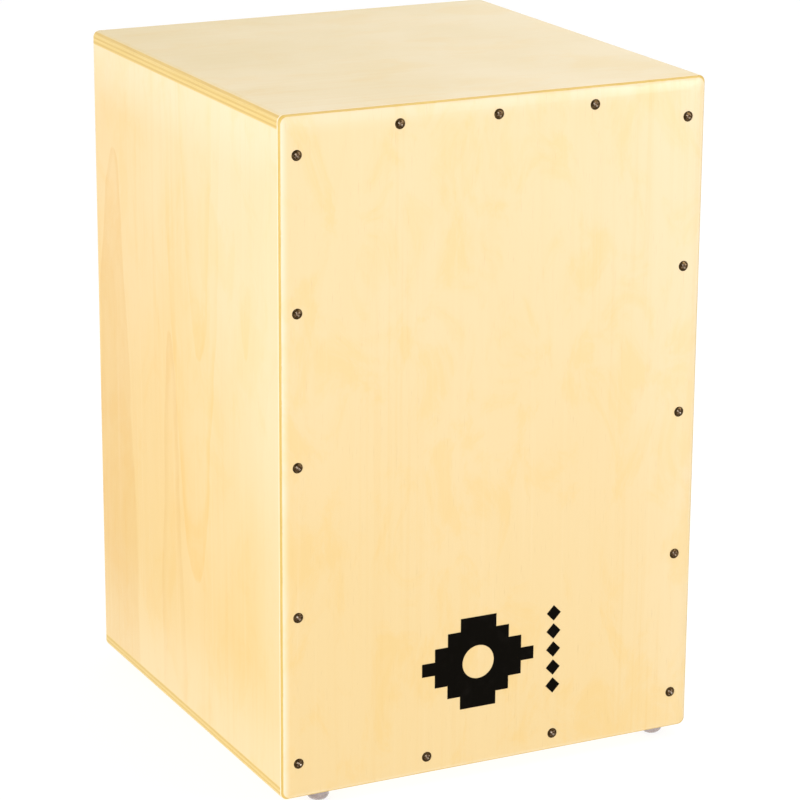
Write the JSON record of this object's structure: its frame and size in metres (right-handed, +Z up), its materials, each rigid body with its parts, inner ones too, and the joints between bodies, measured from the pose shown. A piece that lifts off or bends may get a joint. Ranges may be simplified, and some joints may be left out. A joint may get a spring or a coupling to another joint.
{
  "type": "cajon",
  "caption": "Upright plywood box drum to sit on, with a thin screwed striking plate, internal snare wires, round rear sound hole and soft feet.",
  "frame": {"origin": "on the floor, under the middle of the bounding box", "axes": "+Z up; the striking plate faces -Y; +X to the right of a listener who faces the striking plate"},
  "size_m": [0.3, 0.3097, 0.455],
  "materials": {
    "side_veneer": "clear satin lacquer over pale birch plywood",
    "front_veneer": "clear satin lacquer over pale birch plywood",
    "back_veneer": "clear satin lacquer over pale birch plywood",
    "batten_wood": "planed, unfinished",
    "plate_screw": "antique bronze, worn bright in the recess",
    "inner_screw": "zinc plated",
    "snare_plate": "plated steel strip",
    "snare_wire": "coiled steel wire",
    "foot": "soft translucent grey",
    "ornament": "printed black"
  },
  "bodies": {
    "root": {"back_panel": "back_veneer", "bottom_panel": "side_veneer", "corner_cleat_bottom_left": "batten_wood", "corner_cleat_bottom_right": "batten_wood", "corner_cleat_top_left": "batten_wood", "corner_cleat_top_right": "batten_wood", "foot_front_left": "foot", "foot_front_right": "foot", "foot_rear_left": "foot", "foot_rear_right": "foot", "front_batten_bottom": "batten_wood", "front_batten_left": "batten_wood", "front_batten_right": "batten_wood", "front_batten_top": "batten_wood", "front_emblem": "ornament", "front_plate": "front_veneer", "front_plate_screws": "plate_screw", "rear_batten_bottom": "batten_wood", "rear_batten_left": "batten_wood", "rear_batten_right": "batten_wood", "rear_batten_top": "batten_wood", "side_panel_left": "side_veneer", "side_panel_right": "side_veneer", "snare_bar": "batten_wood", "snare_bar_screws": "inner_screw", "snare_block_left": "batten_wood", "snare_block_right": "batten_wood", "snare_end_clip_left": "snare_plate", "snare_end_clip_right": "snare_plate", "snare_plate_left": "snare_plate", "snare_plate_right": "snare_plate", "snare_plate_screws": "inner_screw", "snare_wires_left": "snare_wire", "snare_wires_right": "snare_wire", "top_panel": "side_veneer"}
  },
  "joints": []
}
